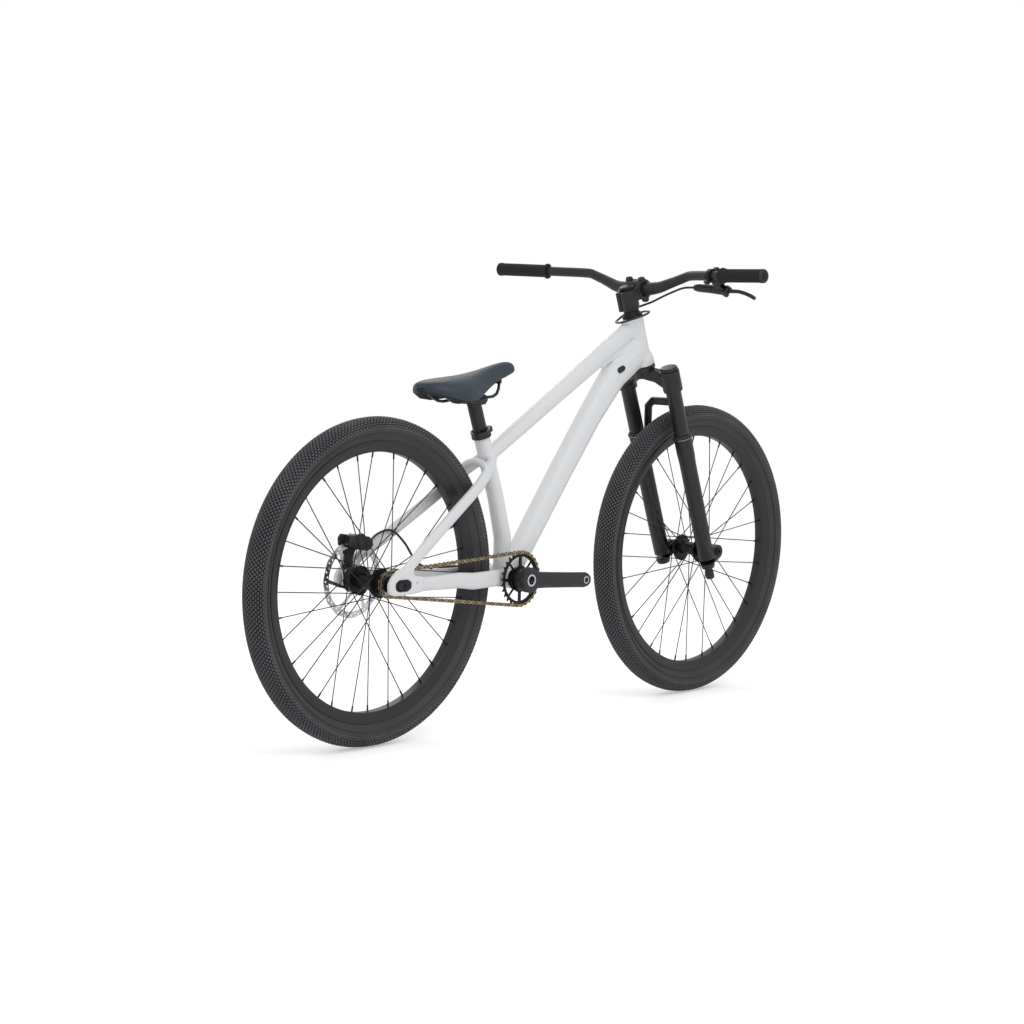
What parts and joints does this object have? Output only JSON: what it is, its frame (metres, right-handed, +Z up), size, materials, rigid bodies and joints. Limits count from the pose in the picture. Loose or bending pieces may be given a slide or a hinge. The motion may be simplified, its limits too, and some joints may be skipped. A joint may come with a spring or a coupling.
{
  "type": "dirt jump bike",
  "caption": "Small hardtail jump bicycle with suspension fork, low sloping frame, single-speed chain drive, rear disc brake and low saddle.",
  "frame": {"origin": "on the ground, midway between the two wheels' ground points, in the frame's middle plane", "axes": "+X forward, +Y to the rider's left, +Z up"},
  "size_m": [1.713, 0.7614, 0.9854],
  "materials": {
    "white_paint": "satin white paint",
    "black_paint": "satin black coat",
    "black_metal": "black anodised",
    "stanchion_black": "polished black anodised",
    "tyre_rubber": "matte black rubber",
    "grip_rubber": "matte soft rubber",
    "saddle_skin": "smooth dark slate cover",
    "black_plastic": "moulded black plastic",
    "black_hose": "smooth black sheath",
    "steel": "brushed",
    "silver": "polished",
    "bronze": "brown bronze plating",
    "pad": "sintered lining on steel"
  },
  "bodies": {
    "frame": {"frame": "white_paint", "headset_upper_bearing": "steel", "headset_lower_bearing": "steel", "left_bracket_cup": "black_metal", "right_bracket_cup": "black_metal", "seat_collar": "black_paint", "left_dropout_insert": "black_metal", "right_dropout_insert": "black_metal", "rear_axle": "black_metal", "rear_hub_spindle": "black_metal", "brake_caliper": "black_paint", "caliper_mount": "black_paint", "rear_hose": "black_hose", "front_hose": "black_hose", "hose_grommet": "black_plastic", "port_plug": "black_plastic", "chain": "bronze"},
    "crankset": {"crank_spindle": "steel", "right_crank_arm": "black_paint", "left_crank_arm": "black_paint", "chainring": "black_metal", "spindle_cap_ring": "silver"},
    "driver": {"rear_sprocket": "steel", "driver_body": "black_metal"},
    "rear_wheel": {"rear_tyre": "tyre_rubber", "rear_rim": "black_paint", "rear_hub_shell": "black_metal", "rear_left_bearing": "steel", "rear_right_bearing": "steel", "brake_rotor": "steel"},
    "steering": {"fork_crown": "black_paint", "steerer_tube": "black_metal", "left_stanchion": "stanchion_black", "right_stanchion": "stanchion_black", "headset_cover": "black_metal", "stem": "black_paint", "stem_faceplate": "black_paint", "stem_top_cap": "black_metal", "handlebar": "black_paint", "left_grip": "grip_rubber", "right_grip": "grip_rubber", "lever_clamp": "black_metal", "lever_body": "black_paint"},
    "fork_lowers": {"fork_lowers": "black_paint", "front_axle": "black_metal", "front_hub_spindle": "black_metal"},
    "front_wheel": {"front_tyre": "tyre_rubber", "front_rim": "black_paint", "front_hub_shell": "black_metal", "front_left_bearing": "steel", "front_right_bearing": "steel"},
    "rebound_knob": {"rebound_knob": "black_plastic"},
    "brake_lever": {"brake_lever": "black_paint"},
    "inner_pad": {"inner_pad": "pad"},
    "outer_pad": {"outer_pad": "pad"},
    "seatpost": {"seatpost": "black_paint", "saddle_clamp": "black_paint", "saddle_rails": "steel", "saddle_base": "black_plastic", "saddle_cover": "saddle_skin"}
  },
  "joints": [
    {"name": "crank_spin", "type": "hinge", "parent": "frame", "child": "crankset", "pos_m": [-0.13054, 0, 0.3167], "axis": [0, 1, 0], "continuous": true, "deforming": ["chain"]},
    {"name": "sprocket_spin", "type": "hinge", "parent": "frame", "child": "driver", "pos_m": [-0.5225, 0, 0.334], "axis": [0, 1, 0], "continuous": true},
    {"name": "rear_wheel_spin", "type": "hinge", "parent": "frame", "child": "rear_wheel", "pos_m": [-0.5225, 0, 0.334], "axis": [0, 1, 0], "continuous": true},
    {"name": "steer", "type": "hinge", "parent": "frame", "child": "steering", "pos_m": [0.48503, 0, 0.31999], "axis": [-0.3502, 0, 0.9367], "range_deg": [-72, 72], "deforming": ["front_hose"]},
    {"name": "fork_travel", "type": "slide", "parent": "steering", "child": "fork_lowers", "axis": [-0.3502, 0, 0.9367], "range_m": [0, 0.1], "stiffness_N_per_m": 7000, "springref_m": -0.015},
    {"name": "front_wheel_spin", "type": "hinge", "parent": "fork_lowers", "child": "front_wheel", "pos_m": [0.5225, 0, 0.334], "axis": [0, 1, 0], "continuous": true},
    {"name": "rebound_turn", "type": "hinge", "parent": "fork_lowers", "child": "rebound_knob", "pos_m": [0.5111, -0.0655, 0.28169], "axis": [-0.3502, 0, 0.9367], "range_deg": [0, 300]},
    {"name": "lever_pull", "type": "hinge", "parent": "steering", "child": "brake_lever", "pos_m": [0.31495, -0.23273, 0.93337], "axis": [-0.6677, 0.1354, -0.732], "range_deg": [0, 22], "stiffness_Nm_per_rad": 1.2, "springref_deg": -14.32},
    {"name": "inner_pad_slide", "type": "slide", "parent": "frame", "child": "inner_pad", "axis": [0, 1, 0], "range_m": [0, 0.0003]},
    {"name": "outer_pad_slide", "type": "slide", "parent": "frame", "child": "outer_pad", "axis": [0, -1, 0], "range_m": [0, 0.0003]},
    {"name": "seatpost_height", "type": "slide", "parent": "frame", "child": "seatpost", "axis": [-0.3502, 0, 0.9367], "range_m": [0, 0.06]}
  ],
  "couplings": [
    {"joint": "sprocket_spin", "follows": "crank_spin", "ratio": 2.3333},
    {"joint": "inner_pad_slide", "follows": "lever_pull", "m_per_rad": 0.00078},
    {"joint": "outer_pad_slide", "follows": "lever_pull", "m_per_rad": 0.00078}
  ]
}
